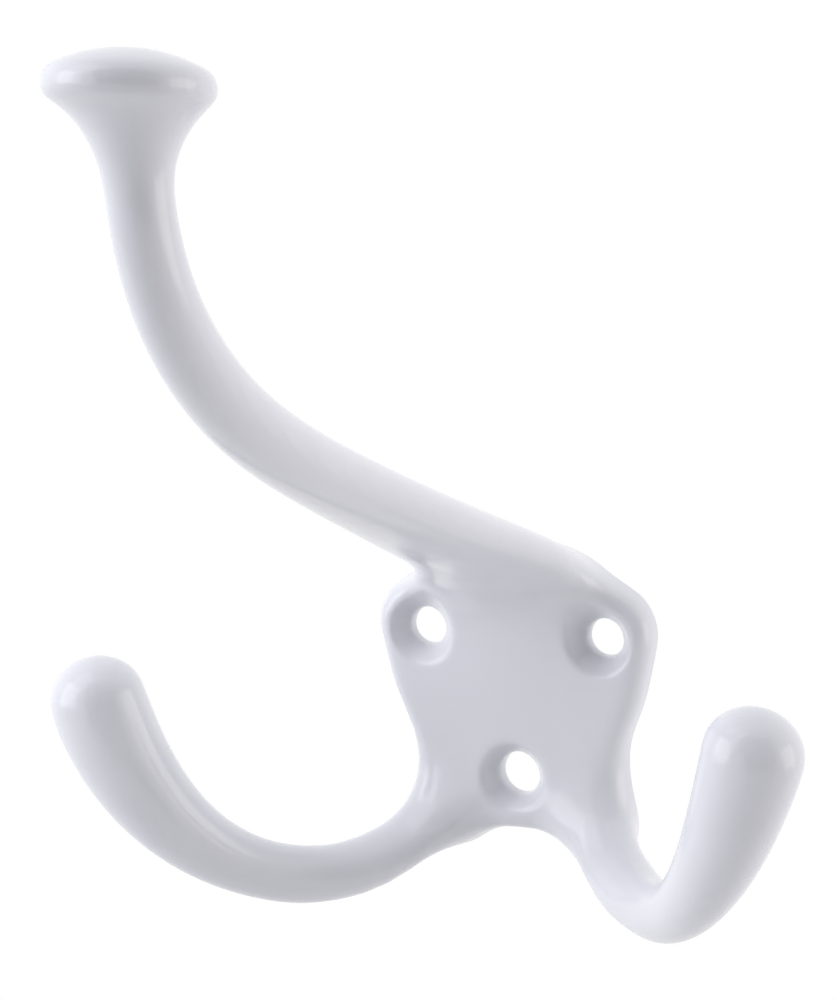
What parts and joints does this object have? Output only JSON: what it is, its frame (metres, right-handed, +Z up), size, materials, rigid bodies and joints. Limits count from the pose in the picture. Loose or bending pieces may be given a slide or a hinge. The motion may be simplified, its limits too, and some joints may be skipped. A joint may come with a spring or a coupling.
{
  "type": "coat hook",
  "caption": "Cast wall hook with a flat screw plate, a long upper arm ending in a knob and lower prongs that curve out and up to the sides.",
  "frame": {"origin": "on the back face, midway between the two upper screw holes", "axes": "+X to the right for someone facing the hook, +Y into the wall, +Z up; the metal lies at Y below 0"},
  "size_m": [0.089, 0.0878, 0.1023],
  "materials": {
    "white_coating": "gloss white coating over a casting"
  },
  "bodies": {
    "root": {"coat_hook": "white_coating"}
  },
  "joints": []
}
